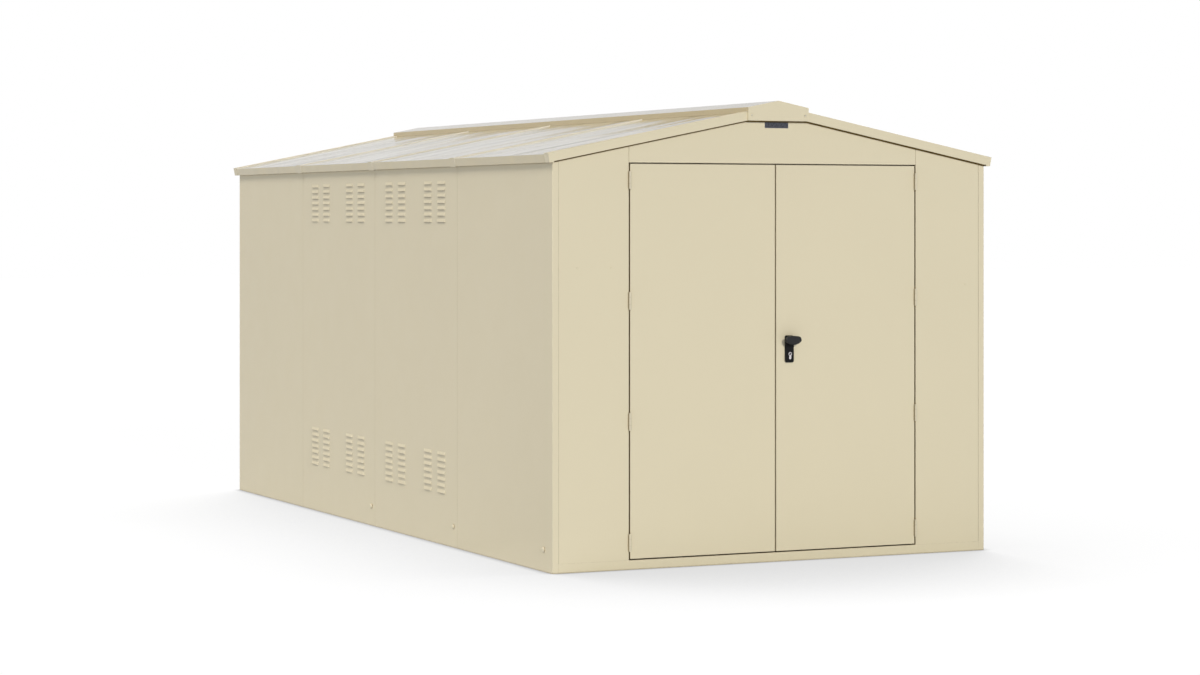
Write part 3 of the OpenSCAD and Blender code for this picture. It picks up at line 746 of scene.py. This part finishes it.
def floor_glow(tree, is_camera_ray):
    """Strength of the floor's glow: full in the open, less in the two shadows and reflections."""
    toward = tree.add("ShaderNodeCombineXYZ", dict(zip("XYZ", Vector(PAINTED_SHADOW_FROM).normalized())))
    behind = tree.open_share(SHADOW_REACH, SHADOW_SAMPLES, Normal=toward.outputs["Vector"])
    shaded = FLOOR_GLOW * (1 - SHADOW_DEPTH)
    broad = tree.spread(behind, shaded, FLOOR_GLOW, *SHADOW_OPEN, curve="SMOOTHSTEP")
    close = tree.spread(tree.open_share(CONTACT_REACH), 1 - CONTACT_DEPTH, 1.0, start=0.5, end=1.0)
    dimmed = tree.spread(is_camera_ray, FLOOR_MIRRORED, 1.0, start=0.0, end=1.0)
    return tree.maths("MULTIPLY", tree.maths("MULTIPLY", broad, dimmed), close)


def studio_floor():
    """Plain white floor with the object's soft shadow. The camera and reflections see its glow,
    and other light is thrown back by its plain surface."""
    bpy.ops.mesh.primitive_plane_add(size=FLOOR_SIZE, location=(0, 0, 0))
    floor = bpy.context.object
    floor.name = "studio_floor"
    tree = Finish("floor_white")
    tree.set("Base Color", FLOOR_BOUNCE)
    tree.set("Roughness", FLOOR_ROUGH)
    tree.set("Specular IOR Level", 0.0)
    rays = tree.nodes.new("ShaderNodeLightPath").outputs
    glow = tree.add("ShaderNodeEmission", {
        "Color": WHITE, "Strength": floor_glow(tree, rays["Is Camera Ray"])})
    soft = tree.add("ShaderNodeBsdfDiffuse", {"Color": FLOOR_SHADE})
    shown = tree.add("ShaderNodeAddShader", {0: soft.outputs[0], 1: glow.outputs[0]})
    seen = tree.maths("MAXIMUM", rays["Is Camera Ray"], rays["Is Glossy Ray"])
    surface = tree.add("ShaderNodeMixShader", {
        0: seen, 1: tree.shader.outputs[0], 2: shown.outputs[0]})
    tree.feed(tree.nodes["Material Output"].inputs["Surface"], surface.outputs[0])
    floor.data.materials.append(tree.material)


def studio_world():
    """Even surroundings: full white to the camera, softer in reflections, softer still as light."""
    world = bpy.data.worlds.new("studio")
    bpy.context.scene.world = world
    tree = Tree(world)
    rays = tree.nodes.new("ShaderNodeLightPath").outputs
    height = tree.axis(tree.nodes.new("ShaderNodeTexCoord").outputs["Generated"], "Z")
    mirrored = tree.spread(height, *MIRRORED, *MIRRORED_BAND)
    unseen = tree.spread(rays["Is Glossy Ray"], FILL, mirrored, start=0.0, end=1.0)
    background = tree.nodes["Background"]
    tree.feed(background.inputs["Color"], WHITE)
    tree.feed(background.inputs["Strength"],
              tree.spread(rays["Is Camera Ray"], unseen, 1.0, start=0.0, end=1.0))


def far_lamp(name, toward, spread, level, tint):
    """Far soft lamp in a direction from the object, as wide as an angle in degrees; a surface that
    faces it gets as much light as from an even sky of that level."""
    light = bpy.data.lights.new(name, "SUN")
    light.angle = math.radians(spread)
    light.energy = math.pi * level
    light.color = tint
    lamp = bpy.data.objects.new(name, light)
    bpy.context.scene.collection.objects.link(lamp)
    lamp.rotation_euler = Vector(toward).to_track_quat("Z", "Y").to_euler()


studio_floor()
studio_world()
far_lamp("front_key", toward=(-0.08, -0.95, 0.31), spread=7, level=0.504, tint=(1.0, 0.99, 0.965))
far_lamp("side_sky", toward=(-0.53, 0.12, 0.84), spread=28, level=0.579, tint=(1.0, 0.972, 0.96))

CAMERA_AT = (-6.3548, -13.947, 1.5629)
CAMERA_TURN = math.radians(-24.99)
LENS = 88.12
SENSOR_W = 36
SHIFT_Y = -0.10025
SEES_TO = 300


def photo_camera():
    """Level long-lens view of the front and the left side, from eye height."""
    data = bpy.data.cameras.new("camera")
    data.sensor_width = SENSOR_W
    data.lens = LENS
    data.shift_y = SHIFT_Y
    data.clip_end = SEES_TO
    camera = bpy.data.objects.new("camera", data)
    bpy.context.scene.collection.objects.link(camera)
    camera.location = CAMERA_AT
    camera.rotation_euler = (math.pi / 2, 0, CAMERA_TURN)
    bpy.context.scene.camera = camera


photo_camera()
bpy.context.scene.view_settings.view_transform = "Standard"
